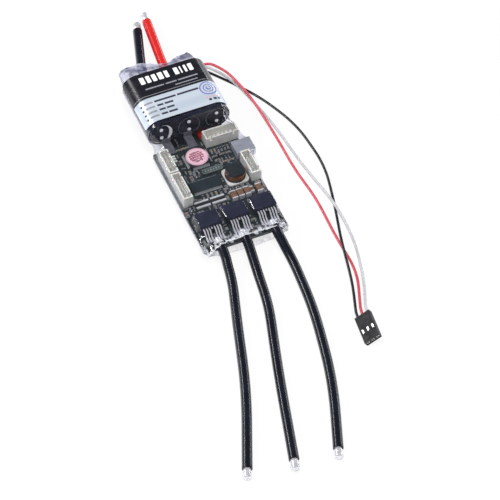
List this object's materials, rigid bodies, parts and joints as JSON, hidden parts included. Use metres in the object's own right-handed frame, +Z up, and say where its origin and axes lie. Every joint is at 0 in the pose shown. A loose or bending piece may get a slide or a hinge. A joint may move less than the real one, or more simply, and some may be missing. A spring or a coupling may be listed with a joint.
{
  "type": "electronic speed controller",
  "caption": "Brushless motor speed controller in a clear shrink sleeve: stacked boards, power transistors and capacitors, with flexible motor, battery and signal leads.",
  "frame": {"origin": "on the resting plane, under the middle of the sleeved body", "axes": "+Z up, +Y towards the battery leads, the motor leads leave towards -Y"},
  "size_m": [0.1021, 0.2703, 0.0209],
  "materials": {
    "circuit_board": "dark solder mask, satin",
    "capacitor_board": "black solder mask, glossy",
    "tinned_copper": "tinned, satin",
    "solder": "bright solder",
    "chip_epoxy": "moulded epoxy",
    "transistor_epoxy": "moulded epoxy, blue-grey",
    "ferrite": "ground ferrite",
    "copper_wire": "enamelled copper",
    "inductor_base": "moulded base",
    "ceramic_brown": "sintered, satin",
    "passive_parts": "small chip parts",
    "crystal_metal": "drawn metal can",
    "led_lens": "clear lens",
    "usb_metal": "folded plated shell",
    "black_plastic": "moulded, satin",
    "connector_plastic": "natural nylon",
    "contact_metal": "tin-plated contact",
    "aluminium": "drawn can",
    "wound_foil": "paper and foil roll",
    "seal_rubber": "sealing rubber",
    "capacitor_film": "printed shrink film, plain",
    "silicone_black": "glossy silicone",
    "silicone_red": "glossy silicone",
    "wire_black": "glossy insulation",
    "wire_white": "glossy insulation",
    "wire_red": "glossy insulation",
    "clear_film": "clear shrink film",
    "label_film": "printed foil",
    "sticker_paper": "pink paper"
  },
  "bodies": {
    "controller": {"main_board": "circuit_board", "capacitor_board": "capacitor_board", "board_links": "tinned_copper", "microcontroller": "chip_epoxy", "microcontroller_leads": "tinned_copper", "gate_driver": "chip_epoxy", "gate_driver_leads": "tinned_copper", "top_mosfets": "transistor_epoxy", "top_mosfet_leads": "tinned_copper", "bottom_mosfets": "transistor_epoxy", "bottom_mosfet_leads": "tinned_copper", "inductor_core": "ferrite", "inductor_winding": "copper_wire", "inductor_base": "inductor_base", "ceramic_capacitors": "ceramic_brown", "ceramic_capacitor_ends": "tinned_copper", "shunt_resistors": "chip_epoxy", "shunt_resistor_ends": "tinned_copper", "crystal_can": "crystal_metal", "small_passives": "passive_parts", "status_leds": "led_lens", "usb_shell": "usb_metal", "usb_tongue": "black_plastic", "header_housings": "connector_plastic", "header_pins": "contact_metal", "capacitor_cans": "aluminium", "capacitor_windings": "wound_foil", "capacitor_seals": "seal_rubber", "capacitor_sleeves": "capacitor_film", "capacitor_leads": "tinned_copper", "capacitor_solder": "solder", "battery_joints": "solder", "battery_inner_jackets": "silicone_black", "motor_joints": "solder", "signal_tails": "wire_black", "sleeve": "clear_film", "label": "label_film", "inspection_sticker": "sticker_paper"},
    "motor_lead_left": {"motor_jacket_left": "silicone_black", "motor_core_left": "solder"},
    "motor_lead_middle": {"motor_jacket_middle": "silicone_black", "motor_core_middle": "solder"},
    "motor_lead_right": {"motor_jacket_right": "silicone_black", "motor_core_right": "solder"},
    "battery_lead_black": {"battery_jacket_black": "silicone_black", "battery_core_black": "solder"},
    "battery_lead_red": {"battery_jacket_red": "silicone_red", "battery_core_red": "solder"},
    "signal_cable": {"signal_wire_black": "wire_black", "signal_wire_white": "wire_white", "signal_wire_red": "wire_red", "plug_housing": "black_plastic", "plug_contacts": "contact_metal"}
  },
  "joints": [
    {"name": "motor_flex_left", "type": "hinge", "parent": "controller", "child": "motor_lead_left", "pos_m": [-0.0124, -0.0545, 0.0073], "axis": [-1, 0, 0], "range_deg": [0, 50]},
    {"name": "motor_flex_middle", "type": "hinge", "parent": "controller", "child": "motor_lead_middle", "pos_m": [-0.0006, -0.0545, 0.0073], "axis": [-1, 0, 0], "range_deg": [0, 50]},
    {"name": "motor_flex_right", "type": "hinge", "parent": "controller", "child": "motor_lead_right", "pos_m": [0.0137, -0.0545, 0.0073], "axis": [-1, 0, 0], "range_deg": [0, 50]},
    {"name": "battery_flex_black", "type": "hinge", "parent": "controller", "child": "battery_lead_black", "pos_m": [-0.0045, 0.0585, 0.0039], "axis": [1, 0, 0], "range_deg": [0, 35]},
    {"name": "battery_flex_red", "type": "hinge", "parent": "controller", "child": "battery_lead_red", "pos_m": [0.0066, 0.0585, 0.0039], "axis": [1, 0, 0], "range_deg": [0, 35]},
    {"name": "signal_swing", "type": "hinge", "parent": "controller", "child": "signal_cable", "pos_m": [0.021, 0.0585, 0.0015], "axis": [0, 0, 1], "range_deg": [-3, 30]}
  ]
}
